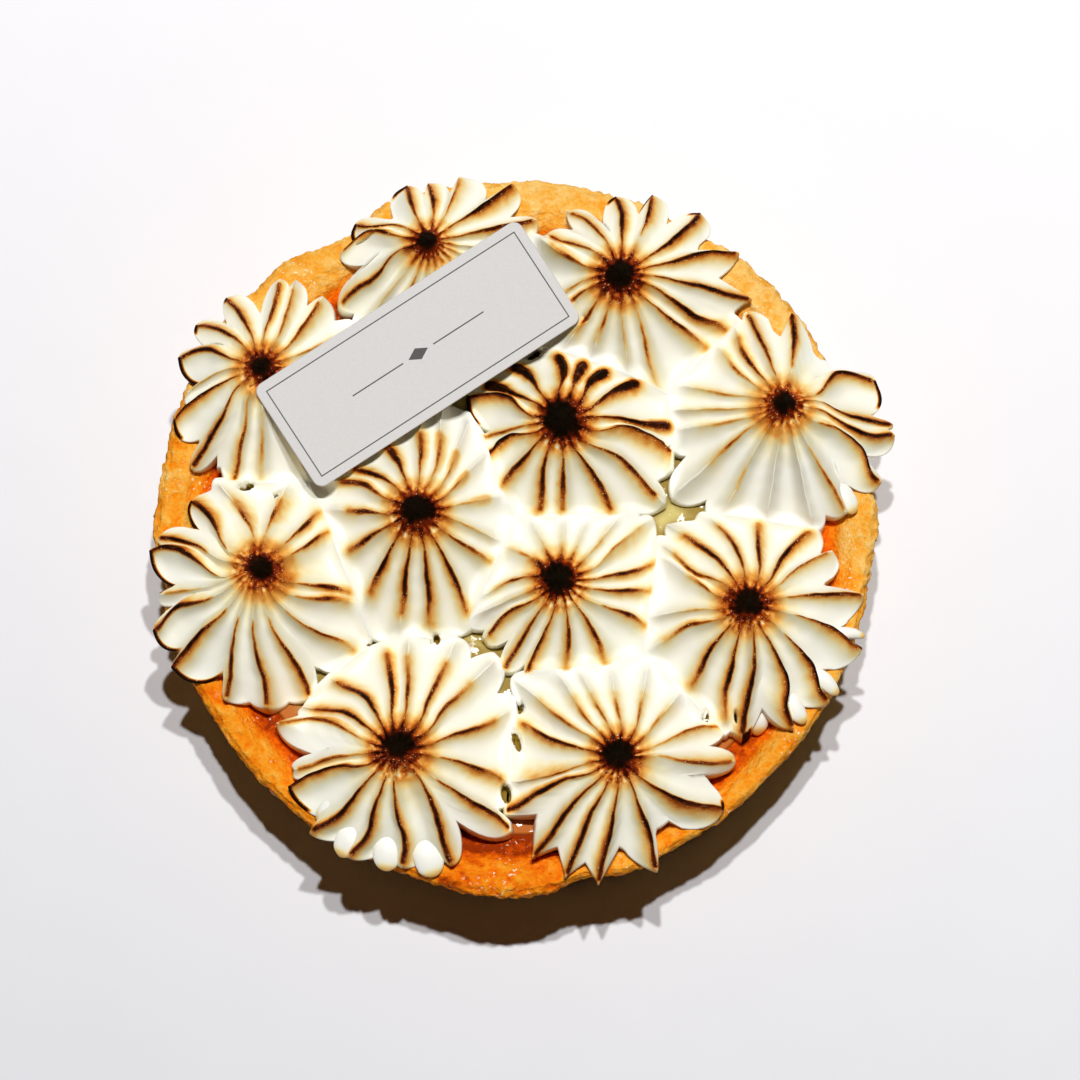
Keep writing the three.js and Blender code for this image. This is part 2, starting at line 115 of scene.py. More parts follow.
# Each ridge as the view shows it. Its bearings, in degrees counter-clockwise from +X, where it is
# 5.4, 10.7, 16.1 and 21.5 mm from the peak; where its burn starts and ends, mm; how dark it is, 0
# to 9; how far its tip is from the peak, mm, negative where it meets a neighbour and 0 where it
# dies away against one; how far it leans counter-clockwise, tenths of a mm; how far its burn
# follows the edge, in tenths of the way to the next ridge, negative for the clockwise side; how far
# the notch after it is filled, in tenths; how pointed its tip is, from 0 for a round lobe to 10 for
# a spike; and how much broader than usual the glow beside its burn is, tenths of a mm. Zeros at the
# end of a row are left out.
STATIONS = (5.4, 10.7, 16.1, 21.5)
RIDGES = {
    "rosette_01": (
        (39, 45, 49, 51, 4, 15.5, 7, 16.5, 3), (61, 65, 69, 70, 4, 15, 6, 16.6, 3),
        (85, 79, 79, 79, 4, 15.5, 7, 16, 2), (107, 112, 119, 122, 4, 14.1, 8, 14.2, 3, 1),
        (130, 138, 150, 156, 4, 14.1, 8, 14.3, 3, 2), (164, 161, 175, 180, 4, 15, 9, 15.2, 2, 9),
        (183, 193, 201, 203, 5, 13.5, 4, 14), (201, 205, 209, 216, 4.5, 18.4, 9, 18.6, -2, 4),
        (222, 232, 235, 236, 5, 22.4, 9, 22.6, 2), (247, 254, 255, 256, 6, 22.9, 7, 23, 2, 0, 0, 7),
        (273, 271, 270, 269, 8, 21.5, 5, 0, 1), (292, 292, 292, 292, 4, 20, 4),
        (315, 315, 315, 315, 4, 18, 4), (338, 338, 338, 338, 4, 16, 4), (0, 0, 0, 0, 4, 14, 4),
        (19, 22, 24, 25, 4, 14, 5),
    ),
    "rosette_02": (
        (8, 10, 10, 10, 4, 18.8, 8, 19.3, 2), (34, 31, 32, 32, 4, 17.9, 9, 18, 7),
        (60, 62, 68, 70, 4, 12.9, 6, 13, 5), (82, 90, 93, 94, 4, 10.9, 8, 11, 4, 1),
        (118, 112, 111, 111, 4, 11.3, 8, 11.4, 1, 3), (150, 164, 165, 166, 4, 13.6, 8, 13.9, 3, 7),
        (172, 168, 186, 190, 4, 15.8, 8, 16, 1), (197, 212, 213, 215, 4, 19.5, 8, 19.8, 1),
        (231, 231, 231, 231, 4, 18, 3), (249, 247, 247, 247, 4, 16, 6), (266, 266, 266, 266, 4, 16, 3),
        (284, 284, 284, 284, 4, 17, 3), (302, 302, 302, 302, 4, 17, 3), (320, 320, 320, 320, 4, 17, 3),
        (338, 338, 338, 338, 4, 17, 3), (352, 353, 354, 354, 4, 17, 3),
    ),
    "rosette_03": (
        (10, 11, 12, 8, 4.5, 21, 9, 21.3, 2, 0, 0, 7), (29, 31, 34, 38, 4.5, 17.9, 9, 18, 3, 2),
        (60, 61, 66, 68, 8, 15.2, 8, 15.4, 6, 3), (87, 87, 94, 96, 4.5, 13.9, 9, 14.1, 3, 2),
        (112, 119, 130, 134, 4.5, 14.3, 7, 14.7, 3), (138, 148, 152, 154, 4.5, 14.6, 7, 15, 2),
        (168, 161, 155, 153, 5, 13.5, 7, 0, 2), (188, 197, 199, 199, 5, 12, 5),
        (204, 209, 208, 207, 5, 12, 7), (226, 232, 233, 233, 5, 13.6, 7), (249, 251, 251, 251, 5, 12.9, 6),
        (272, 272, 274, 274, 5, 16, 4), (296, 292, 289, 288, 5.5, 22, 6, 0, -1),
        (313, 316, 318, 319, 6, 22, 8, 0, 1), (336, 332, 329, 331, 6, 23, 9, 0, 1),
        (353, 350, 349, 347, 6, 23.8, 9, 24, -2, 0, 0, 8),
    ),
    "rosette_04": (
        (12, 27, 13, 7, 6, 16.5, 9, 16.9, 3, -6), (77, 78, 82, 83, 6.5, 16.1, 9, 16.2, 3, 0, 0, 8),
        (108, 109, 111, 111, 5, 17, 8, 17.4, 1), (130, 129, 122, 120, 5, 14.3, 8),
        (149, 145, 138, 137, 5, 14, 6), (170, 172, 170, 170, 5, 16.1, 5, 0, 1),
        (190, 187, 185, 184, 5, 17.4, 4), (205, 200, 196, 194, 5.5, 15.6, 5, -21.2),
        (217, 218, 220, 221, 5.5, 17.4, 6, -26), (239, 239, 241, 242, 11, 20, 4, -24.5),
        (262, 262, 262, 262, 8, 21, 0), (283, 283, 283, 283, 8, 21, 0),
        (298, 297, 298, 298, 9.5, 23, 6, 23.3, 1), (325, 331, 328, 318, 7.5, 22.4, 9, 22.6, 3),
        (347, 339, 337, 342, 6, 20.8, 9, 21, 1), (2, 348, 347, 347, 7, 19.8, 9, 20, -1),
    ),
    "rosette_05": (
        (5, 1, 357, 357, 4.5, 21, 9, 0, 1), (20, 28, 28, 26, 4.5, 16.1, 9, 0, 6),
        (43, 54, 50, 48, 4.5, 13.4, 9, 0, 2), (73, 72, 70, 70, 4.5, 12.3, 8),
        (99, 88, 94, 95, 4.5, 13.2, 9, 0, -2), (129, 126, 135, 137, 4.5, 14, 9, 0, 1),
        (148, 151, 153, 154, 4.5, 15.5, 9, 0, 1), (172, 156, 163, 167, 4.5, 17.2, 9, 17.4, -2, 6),
        (187, 189, 190, 191, 4.5, 15.2, 6, 15.4), (205, 197, 202, 204, 4.5, 16.4, 9, 16.6, -6),
        (222, 225, 226, 227, 4.5, 17.9, 9, 0, -1), (245, 248, 254, 256, 4.5, 17, 9, 0, 1),
        (270, 271, 270, 270, 4.5, 17, 8, 0, 1), (291, 298, 299, 298, 4.5, 18.9, 9, 0, 2),
        (314, 325, 323, 320, 5, 21.8, 8, 23.4, 2, 0, 5), (338, 352, 349, 344, 5, 20.4, 8, 21, 8, 0, 0, 0, 6),
    ),
    "rosette_06": (
        (2, 7, 9, 10, 5, 13, 4), (22, 33, 38, 39, 5, 11, 5), (42, 52, 58, 60, 5, 12.5, 5, 0, 1),
        (63, 68, 75, 76, 5, 14.3, 6, 0, 0, 0, 0, 0, 4), (84, 86, 88, 89, 5, 14, 7, 0, 0, 0, 0, 0, 3),
        (109, 112, 118, 119, 5, 13.5, 9, 0, 1), (131, 140, 148, 149, 5, 13.6, 9, 0, 1),
        (160, 154, 160, 162, 5, 14.7, 8, 0, 2), (190, 183, 181, 180, 5, 12.5, 8),
        (212, 211, 212, 212, 5, 14.3, 9), (237, 239, 241, 242, 5, 17.4, 9, 0, -3),
        (262, 261, 262, 262, 5, 19.3, 9, 0, 1), (284, 280, 279, 277, 5, 21, 9, -25, -2, 0, 8),
        (301, 300, 298, 296, 5, 20.6, 9, -23, 1), (321, 322, 324, 325, 5, 16.4, 7),
        (346, 343, 340, 339, 5, 14, 4),
    ),
    "rosette_07": (
        (18, 21, 26, 27, 6.5, 14.3, 8, 0, 1), (40, 41, 43, 43, 6.5, 14.6, 8),
        (77, 73, 71, 70, 6.3, 12.9, 7, 0, 3, 0, 0, 0, 6), (97, 107, 115, 117, 5, 12.5, 7, 0, 3, 0, 0, 0, 9),
        (152, 134, 134, 138, 6.5, 16.4, 9, 16.5, 6, 5), (172, 163, 164, 166, 9.5, 18.2, 9, 18.3),
        (202, 176, 168, 175, 7.5, 19, 9, 19.2, 2, 10), (206, 203, 198, 197, 11, 17.5, 5, 18.2),
        (219, 216, 208, 213, 10.2, 21.7, 9, 21.9, 1, 8), (238, 236, 232, 232, 10, 24, 9, 24.2, -3, 8),
        (252, 252, 254, 257, 10.5, 25, 8, 25.2, 1, 0, 8),
        (266, 267, 270, 274, 10.5, 25.6, 8, 25.8, -2, 0, 8), (281, 283, 288, 291, 10, 25, 8, 25.2, 3),
        (298, 304, 311, 318, 9.8, 23.2, 7, 0, 1), (312, 323, 335, 339, 9, 17.4, 7, 0, -2),
        (330, 338, 343, 344, 8, 17, 8, 0, 1),
    ),
    "rosette_08": (
        (1, 5, 7, 12, 4.5, 19.1, 8), (18, 29, 32, 34, 5, 17, 5, -19.8, 2, 0, 0, 0, 8),
        (40, 43, 46, 47, 5, 12.5, 4, -18.8), (63, 65, 66, 66, 4.5, 8, 3), (87, 86, 86, 86, 4.5, 8, 2),
        (114, 115, 115, 115, 4.5, 9.3, 3), (138, 144, 148, 150, 4.5, 10.7, 5),
        (171, 180, 190, 193, 4.5, 11.8, 7), (200, 202, 203, 203, 4.5, 11.6, 3),
        (217, 212, 218, 219, 4.5, 16.1, 8, 16.6, -2), (236, 237, 238, 238, 4.5, 18.6, 8, 18.9),
        (258, 254, 251, 250, 4.5, 17.9, 8, 18.2, -4), (282, 280, 277, 274, 4.5, 17.9, 8),
        (302, 303, 301, 298, 4.5, 19.3, 8), (321, 328, 332, 331, 9, 19.6, 8, 0, 1),
        (343, 347, 351, 353, 6, 18.8, 8, 0, 1),
    ),
    "rosette_09": (
        (9, 6, 4, 2, 7, 20.4, 8, 20.6, 1, 0, 0, 7), (30, 33, 30, 28, 5, 17.2, 6, 17.7, 4),
        (47, 52, 49, 47, 4.5, 17.2, 9, 0, 2), (67, 76, 80, 82, 4.5, 15, 8, 0, 3),
        (95, 100, 109, 112, 4.5, 15, 8, 0, 2), (118, 124, 131, 134, 4, 16.6, 9, -19.6, 1),
        (138, 149, 146, 145, 4.5, 15.8, 7, -20), (164, 154, 150, 149, 4.5, 11.6, 6),
        (189, 186, 187, 188, 5, 12.5, 4, 0, 1), (208, 200, 203, 205, 5, 16.1, 7, 0, 2),
        (230, 230, 234, 236, 4.5, 17.9, 9, 0, 1), (253, 256, 256, 259, 4.5, 20.8, 9, 0, 1),
        (280, 276, 271, 268, 5, 23.8, 9, 24, 2, 2, 0, 6), (298, 298, 295, 288, 5, 24.1, 9, 24.3, 5, 0, 0, 6),
        (322, 317, 314, 307, 9, 22.8, 9, 23, 5, 0, 0, 7), (347, 343, 340, 335, 9, 21.6, 8, 21.9, 6, 2, 0, 6),
    ),
    "rosette_10": (
        (9, 14, 14, 18, 6.5, 18.4, 8, -22.6), (28, 39, 40, 41, 4.2, 17.5, 7, -24.3),
        (48, 57, 59, 61, 4.2, 17.5, 8, -22.2), (74, 78, 82, 84, 4.2, 16.5, 7, -22.5),
        (96, 94, 96, 96, 4, 17.2, 9), (118, 119, 130, 134, 4, 16.1, 9, 0, 3),
        (140, 143, 153, 157, 4, 16.3, 9, 0, 2), (163, 157, 160, 169, 4.2, 20.9, 7, 21, 1, 0, 0, 0, 7),
        (187, 189, 193, 193, 4.5, 17.9, 6, 18.3, -2), (208, 198, 199, 202, 4, 20, 9, 20.1, -3, 6, 3, 6),
        (228, 230, 231, 226, 5, 21.4, 9, 21.6, -2, 0, 5, 6),
        (251, 251, 253, 248, 5, 21, 9, 21.2, -2, 0, 5, 6),
        (268, 271, 276, 274, 5.5, 21, 9, 21.2, -2, 0, 4, 6),
        (311, 305, 300, 296, 5.5, 23, 9, 23.2, -4, 0, 0, 5), (324, 323, 323, 324, 9.5, 25, 9, 25.2, 4),
        (352, 349, 346, 344, 8, 19.3, 8, 0, 1, 0, 0, 0, 5),
    ),
    "rosette_11": (
        (14, 18, 18, 15, 6, 19.2, 6, 19.4, 3), (37, 42, 44, 45, 4.5, 12.9, 5), (58, 66, 70, 71, 4.5, 12, 6),
        (84, 92, 94, 95, 4.5, 11.3, 6), (105, 112, 114, 115, 4.5, 12, 6, -22),
        (127, 131, 128, 127, 4.5, 13, 6, -23.2, 0, 0, 3), (145, 148, 146, 145, 5, 17, 6, -23),
        (167, 167, 163, 160, 4.5, 18.2, 9, -19.6, -1), (191, 196, 195, 194, 5, 16.1, 6, 0, 4, 0, 0, 0, 9),
        (211, 204, 205, 207, 4.5, 23.4, 9, 23.6, 2, 0, 0, 8),
        (230, 227, 229, 231, 4.5, 23.8, 9, 24, 2, 0, 0, 9),
        (248, 245, 246, 247, 4.5, 23.8, 9, 24, 1, 0, 0, 9),
        (268, 265, 263, 261, 4.5, 23.4, 9, 23.6, 2, 0, 0, 9),
        (294, 291, 290, 287, 4.5, 21.7, 9, 21.9, 3, 0, 0, 8),
        (316, 319, 324, 330, 4.5, 21, 9, 21.2, 5, 2, 0, 4, 5), (1, 356, 355, 357, 7, 20.3, 7, 20.6, -5),
    ),
}

# Blobs of the first ring of piping that show between ridge tips. Bearing in the view, distance of
# the blob's middle from the peak, half length and half width, mm.
BLOBS = {
    "rosette_04": ((302, 20.6, 3.4, 1.8),),
    "rosette_09": ((275, 20.3, 2.9, 2.2), (294.5, 20.8, 3.3, 1.6), (314.5, 20, 3.2, 1.4), (343, 19, 3, 1.1)),
    "rosette_10": (
        (223, 15.3, 3.4, 2.2), (243, 18.2, 3.4, 2.4), (265, 18.6, 3.4, 2.5), (286.5, 20.3, 3.6, 2.7),
    ),
}
BLOB_COLUMNS, BLOB_RINGS = 32, 16

# Small holes between pressed rosettes, down to the curd: x, y, half length, half width, heading.
HOLES = (
    (-14.5, -18.0, 0.9, 0.65, 100), (-26.5, -18.8, 0.7, 0.4, 30), (-43.5, 7.9, 0.6, 0.4, 60),
    (-48.7, 9.7, 1.4, 0.6, 20), (3.0, 34.0, 1.6, 0.6, 30), (0.5, -30.5, 1.05, 0.5, 70),
    (-0.3, -36.4, 1.8, 0.7, 110), (-2.1, -45.9, 1.7, 0.9, 100), (33.7, -32.1, 0.9, 0.35, 80),
    (38.7, -32.3, 1.0, 0.3, 95),
)

RIDGE_COUNT = 16
PRESSED_LOBES = 0.6  # how deep the notches between pressed tips of a stated reach are
TIP_HEIGHT = 24.0
RIM_TIP_HEIGHT = 28.2
# Distances from the pie's middle over which tips, bodies and undersides step up onto the rim.
TIP_RISE = (49, 58)
BODY_RISE = (54, 58)
UNDERSIDE_RISE = (56.5, 59.5)
UNDERSIDE_HEIGHT = CURD_HEIGHT + 0.05  # where it is over the curd
CHANNEL_DEPTH = 0.56  # share of the channel's width
DEEPEST_CHANNEL = 4.5
NOTCH_DEPTH = 0.62  # share of the channel's width
DEEPEST_NOTCH = 0.34  # share of the reach
VIEW_SLOPE = 0.62  # mean fall of a ridge with its distance from the peak

# How burnt a peak is, falling with the distance out from its char, on a scale where the caramel's
# radius is at CARAMEL_OUT.
CHAR_FALL = (
    (-1.2, 1.0), (-0.3, 0.92), (0.1, 0.68), (0.35, 0.56), (0.8, 0.46), (1.3, 0.385), (1.8, 0.325),
    (2.3, 0.275), (3.0, 0.215), (4.0, 0.15), (5.5, 0.085), (7.5, 0.0),
)
CARAMEL_OUT = 1.6
COLUMNS_PER_RIDGE = 20
ROWS = 84


def smoothstep(value, low, high):
    share = np.clip((value - low) / (high - low), 0, 1)
    return share * share * (3 - 2 * share)


def smooth_max(a, b, width):
    """The larger of a and b, with a fillet where they cross."""
    blend = np.clip(width - np.abs(a - b), 0, None) / width
    return np.maximum(a, b) + blend * blend * width / 4


def lattice_noise(points, size, seed):
    """Smooth noise from -1 to 1 at each point (mm), with features of about the given size."""
    table = np.random.default_rng(seed).uniform(-1, 1, 4096)
    scaled = np.asarray(points) / size
    cell = np.floor(scaled).astype(np.int64)
    part = scaled - cell
    part = part * part * (3 - 2 * part)
    total = np.zeros(len(scaled))
    for corner in range(8):
        step = np.array([corner & 1, corner >> 1 & 1, corner >> 2 & 1])
        at = cell + step
        index = (at[:, 0] * 73856093 ^ at[:, 1] * 19349663 ^ at[:, 2] * 83492791) % 4096
        weight = np.where(step == 1, part, 1 - part).prod(axis=1)
        total += table[index] * weight
    return total


def from_middle(points):
    """How far points are from the pie's middle, seen from above."""
    return np.hypot(points[:, 0], points[:, 1])


def make_mesh(name, points, quads, triangles):
    """A mesh object of points in millimetres."""
    mesh = bpy.data.meshes.new(name)
    faces = [tuple(face) for face in quads] + [tuple(face) for face in triangles]
    mesh.from_pydata((np.asarray(points) * MM).tolist(), [], faces)
    mesh.shade_smooth()
    piece = bpy.data.objects.new(name, mesh)
    bpy.context.scene.collection.objects.link(piece)
    return piece


def add_values(piece, name, values):
    """Keeps one number for each vertex, for the material to read."""
    kept = piece.data.attributes.new(name, "FLOAT", "POINT")
    kept.data.foreach_set("value", np.asarray(values, dtype=np.float32))


def ring_faces(rings, columns):
    """Quads between closed rings of vertices, with the surface on the left of rising columns."""
    ring, column = np.meshgrid(np.arange(rings - 1), np.arange(columns), indexing="ij")
    here = (ring * columns + column).ravel()
    beside = (ring * columns + (column + 1) % columns).ravel()
    return np.stack([here, here + columns, beside + columns, beside], axis=1)


def cap_faces(centre, start, columns):
    """Triangles from a centre vertex to a ring of vertices."""
    here = start + np.arange(columns)
    beside = start + (np.arange(columns) + 1) % columns
    return np.stack([np.full(columns, centre), here, beside], axis=1)


def card_axes():
    """The card's long, short and upright directions, as columns."""
    pitch = math.asin(CARD_DROP / CARD_SIZE[0])
    roll = math.asin(CARD_LEAN / CARD_SIZE[1])
    return np.array(Euler((roll, pitch, math.radians(CARD_HEADING))).to_matrix())


def keep_under_card(points):
    """Points (mm) pressed down to just below the card where it lies over them."""
    axes = card_axes()
    local = (points - np.array(CARD_CENTRE)) @ axes
    half_length, half_width = CARD_SIZE[0] / 2 + 0.6, CARD_SIZE[1] / 2 + 0.6
    covered = (np.abs(local[:, 0]) < half_length) & (np.abs(local[:, 1]) < half_width)
    local[:, 2] = np.where(covered, np.minimum(local[:, 2], -0.12), local[:, 2])
    return local @ axes.T + np.array(CARD_CENTRE)


# ---- Rosette form ----

def lost(share):
    """The share of a rosette's height that its ridges have lost at a share of their reach."""
    nipple = 0.07 * (1 - np.exp(-share / 0.06)) * (1 - share)
    return 0.86 * share + 0.14 * share**3 + nipple


def from_view(bearing, distance):
    """A place on a rosette's cone, given as the view shows it, as bearing and distance in plan."""
    angle = np.radians(bearing)
    along = distance * np.cos(angle)
    across = distance * (np.sin(angle) + math.sin(VIEW_TILT) * VIEW_SLOPE) / math.cos(VIEW_TILT)
    return np.degrees(np.arctan2(across, along)), np.hypot(along, across)


class Ridge:
    """One ridge: its bearing at each distance from the peak, its tip and its burn."""

    def __init__(self, row):
        bearings = np.unwrap(np.array(row[:4], dtype=float), period=360)
        placed = [from_view(b, d) for b, d in zip(bearings, STATIONS)]
        self.turns = np.unwrap([place[0] for place in placed], period=360)
        self.turns = self.turns - 360 * math.floor(self.turns[1] / 360)
        self.distances = np.array([place[1] for place in placed])
        stretch = self.distances[2] / STATIONS[2]
        start, burn, self.dark, tip, *tenths = (*row[4:], *[0] * 6)[:9]
        self.start = start * self.distances[0] / STATIONS[0]
        self.burn = burn * stretch
        self.free = tip > 0
        self.lobed = 1.0 if tip > 0 else PRESSED_LOBES if tip < 0 else 0.0
        self.tip = abs(tip) * stretch
        self.lean, self.curl, self.web, self.point, self.broad = np.array(tenths) / 10

    def bearing(self, distance):
        """The bearing at each distance, smoothly through the four stations."""
        x, y = self.distances, self.turns
        slopes = np.gradient(y, x)
        slopes[0] = slopes[0] * 0.6
        slopes[-1] = 0
        at = np.clip(distance, x[0], x[-1])
        index = np.clip(np.searchsorted(x, at) - 1, 0, 2)
        span = x[index + 1] - x[index]
        t = (at - x[index]) / span
        curve = (2 * t**3 - 3 * t**2 + 1) * y[index] + (t**3 - 2 * t**2 + t) * span * slopes[index]
        curve += (3 * t**2 - 2 * t**3) * y[index + 1] + (t**3 - t**2) * span * slopes[index + 1]
        return curve


class Form:
    """A rosette's dome, before its ridges: heights and reaches round its peak."""

    def __init__(self, name):
        self.name = name
        self.seed = int(name[-2:])
        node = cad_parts[name]
        corners = np.array([node.matrix_world @ vertex.co for vertex in node.data.vertices]) / MM
        self.peak = corners[corners[:, 2].argmax()]
        self.reaches, self.char, self.caramel, self.heads, self.char_offset = ROSETTES[name]
        self.ridges = sorted((Ridge(row) for row in RIDGES[name]), key=lambda ridge: ridge.turns[1])
        for ridge in self.ridges:
            if ridge.tip == 0:
                ridge.tip = float(self.oval_reach(np.radians(ridge.turns[3])))
        ends = np.mod([ridge.bearing(np.array([ridge.tip]))[0] for ridge in self.ridges], 360)
        order = np.argsort(ends)
        self.end_turns = np.radians(ends[order])
        self.end_reaches = np.array([self.ridges[index].tip for index in order])

    def each(self, key):
        """One value of every ridge, in the ridges' order."""
        return np.array([getattr(ridge, key) for ridge in self.ridges], dtype=float)

    def oval_reach(self, angle):
        east, north, west, south = self.reaches
        across = np.where(np.cos(angle) > 0, east, west)
        along = np.where(np.sin(angle) > 0, north, south)
        return across * np.cos(angle) ** 2 + along * np.sin(angle) ** 2

    def reach(self, angle):
        return np.interp(angle, self.end_turns, self.end_reaches, period=2 * math.pi)

    def tip_height(self, angle, reach):
        x = self.peak[0] + reach * np.cos(angle)
        y = self.peak[1] + reach * np.sin(angle)
        return TIP_HEIGHT + (RIM_TIP_HEIGHT - TIP_HEIGHT) * smoothstep(np.hypot(x, y), *TIP_RISE)

    def crest_height(self, angle, distance):
        reach = self.reach(angle)
        drop = self.peak[2] - self.tip_height(angle, reach)
        return self.peak[2] - drop * lost(np.minimum(distance / reach, 1.0))

    def dome_height(self, x, y):
        """The smooth height of the rosette at a place, with its ridges levelled out."""
        dx, dy = x - self.peak[0], y - self.peak[1]
        angle = np.arctan2(dy, dx)
        distance = np.hypot(dx, dy)
        past = np.maximum(distance - self.reach(angle), 0)
        width = 2 * math.pi / RIDGE_COUNT * distance
        return self.crest_height(angle, distance) - 0.45 * channel_depth(width) - 1.3 * past


def channel_depth(width):
    """How deep a channel of a width is."""
    return DEEPEST_CHANNEL * np.tanh(CHANNEL_DEPTH * width / DEEPEST_CHANNEL)


FORMS = {name: Form(name) for name in ROSETTES}


def spread(bearings, least):
    """Bearings kept at least so far apart round the circle."""
    for _ in range(80):
        gap = np.roll(bearings, -1, axis=1) - bearings
        gap[:, -1] += 360
        push = np.maximum(least - gap, 0) / 2
        bearings = bearings - push + np.roll(push, 1, axis=1)
    return bearings


def others_height(form, x, y):
    """The height of the highest neighbour at each place."""
    height = np.full(x.shape, -100.0)
    for other in FORMS.values():
        if other is not form:
            height = np.maximum(height, other.dome_height(x, y))
    return height


def holes_distance(x, y):
    """How far inside the nearest small hole each place is, mm, down to -1 outside."""
    inside = np.full(x.shape, -1.0)
    for hole_x, hole_y, half_length, half_width, heading in HOLES:
        turn = math.radians(heading)
        along = (x - hole_x) * math.cos(turn) + (y - hole_y) * math.sin(turn)
        across = (y - hole_y) * math.cos(turn) - (x - hole_x) * math.sin(turn)
        out = np.hypot(along / half_length, across / half_width)
        inside = np.maximum(inside, (1 - out) * half_width)
    return inside


def blob_mesh(form, bearing, distance, half_length, half_width):
    """The points, ring after ring, and the toast of a rounded blob that rests under the rosette's edge."""
    turn, reach = from_view(bearing, distance)
    turn = math.radians(float(turn))
    x, y = form.peak[0] + reach * math.cos(turn), form.peak[1] + reach * math.sin(turn)
    end = math.hypot(x + half_length * math.cos(turn), y + half_length * math.sin(turn))
    foot, height = (RIM_HEIGHT, 2.3) if end > 57.5 else (CURD_HEIGHT, 5.0)
    azimuth = np.linspace(0, 2 * math.pi, BLOB_COLUMNS, endpoint=False)
    rings = []
    toast = []
    for tilt in np.linspace(-1.45, 1.45, BLOB_RINGS):
        along = half_length * math.cos(tilt) * np.cos(azimuth)
        across = half_width * math.cos(tilt) * np.sin(azimuth)
        rings.append(np.stack([
            x + along * math.cos(turn) - across * math.sin(turn),
            y + along * math.sin(turn) + across * math.cos(turn),
            foot + 0.15 + height * (0.5 + 0.5 * math.sin(tilt)) - 0.12 * along,
        ], axis=1))
        toast.append(0.22 * smoothstep(along / half_length, 0.45, 1.0))
    points = np.concatenate(rings)
    points[:, :2] += 0.2 * lattice_noise(points, 2.4, 21)[:, None]
    return points, np.concatenate(toast)


def burnt_lines(grid):
    """Burns along the crests: thin and brown by the peak, blacker farther out, soft where they end at
    a neighbour, with a glow on the side that a crest leans from."""
    form, radius = grid.form, grid.radius
    free, start, dark = nearest(grid, "free"), nearest(grid, "start"), nearest(grid, "dark") / 9
    strength = (0.08 + 0.92 * dark**1.8) * smoothstep(dark, 0, 0.15)
    ends = form.each("burn")
    pressed = grid.reach[::COLUMNS_PER_RIDGE] - 0.4 - 0.2 * form.heads
    ends = np.where(form.each("free") > 0, ends, np.minimum(ends, pressed))
    end = ends[grid.nearest][None, :]
    # Wide dark heads on the far side, where a burn ends at a neighbour.
    north = smoothstep(np.sin(grid.angle), -0.2, 0.4)
    head = (1 - free) * form.heads * (0.15 + 0.85 * north) * smoothstep(radius, end - 6.5, end - 1.0)
    growth = smoothstep(radius, start + 0.5, start + 0.6 * (end - start))
    faded = smoothstep(radius, start + 0.52 * (end - start), end - 0.5)
    faded = faded * (0.30 + 0.62 * (1 - free)) * (1 - np.minimum(0.6 * head, 1))
    # The dark line itself, and how it ends sideways.
    core = (0.02 + strength * (0.05 + 0.10 * growth)) * (1 - 0.5 * faded) + 0.23 * head * dark
    core = core * (1 + 0.28 * surface_noise(grid, 1.3, 80))
    aside = np.minimum(grid.across, 1 - grid.across)[None, :] * grid.width
    away = np.hypot(aside, np.maximum(radius - (end - core - 0.3), 0)) - core
    halo = 0.42 + 0.18 * growth + 0.70 * faded + 0.08 * head
    heat = (0.46 + 0.40 * growth) * strength * (1 - 0.70 * faded)
    heat = heat * (1 + 0.22 * surface_noise(grid, 0.7, 120))
    line = heat * np.clip(1 - away / halo, 0, 1) ** 1.5
    away = np.maximum(away, 0)
    line = np.maximum(line, 0.29 * np.minimum(head, 1) * np.exp(-(away**3)))
    # The glow beside it.
    side = np.where(np.where(grid.across < 0.5, 1, -1)[None, :] * (grid.lean + 0.03) < 0, growth, 0.0)
    broad = nearest(grid, "broad") * side
    glow = 0.24 + side * 0.24 + 0.08 * np.minimum(broad, 1)
    glow = glow + (0.32 - glow) * faded * (1 - np.minimum(broad, 1))
    reach = 0.58 + side * (0.22 + 0.24 * np.abs(grid.lean)) + broad
    reach = reach + np.maximum(1.15 - reach, 0) * faded
    glow = glow * np.exp(-((away / reach) ** 1.15)) * (1 + 0.25 * surface_noise(grid, 1.0, 140))
    warmth = np.maximum(glow, 0.045 * np.exp(-away / 2.5)) * strength
    begin = smoothstep(radius, start - 1.4, start + 0.6)
    return np.maximum(line, warmth) * begin * smoothstep(grid.lead, -0.5, 0.3)


def burnt_edges(grid):
    """Burns along the outline where a ridge has curled over."""
    inward = grid.reach[None, :] - grid.radius
    past = np.where(grid.curl > 0, grid.across, 1 - grid.across) / np.maximum(np.abs(grid.curl), 0.01)
    edge = (1 - smoothstep(past, 0.8, 1.1)) * (grid.curl != 0)
    return 0.88 * edge * np.clip(1 - (inward - 0.1) / 0.5, 0, 1) ** 1.3


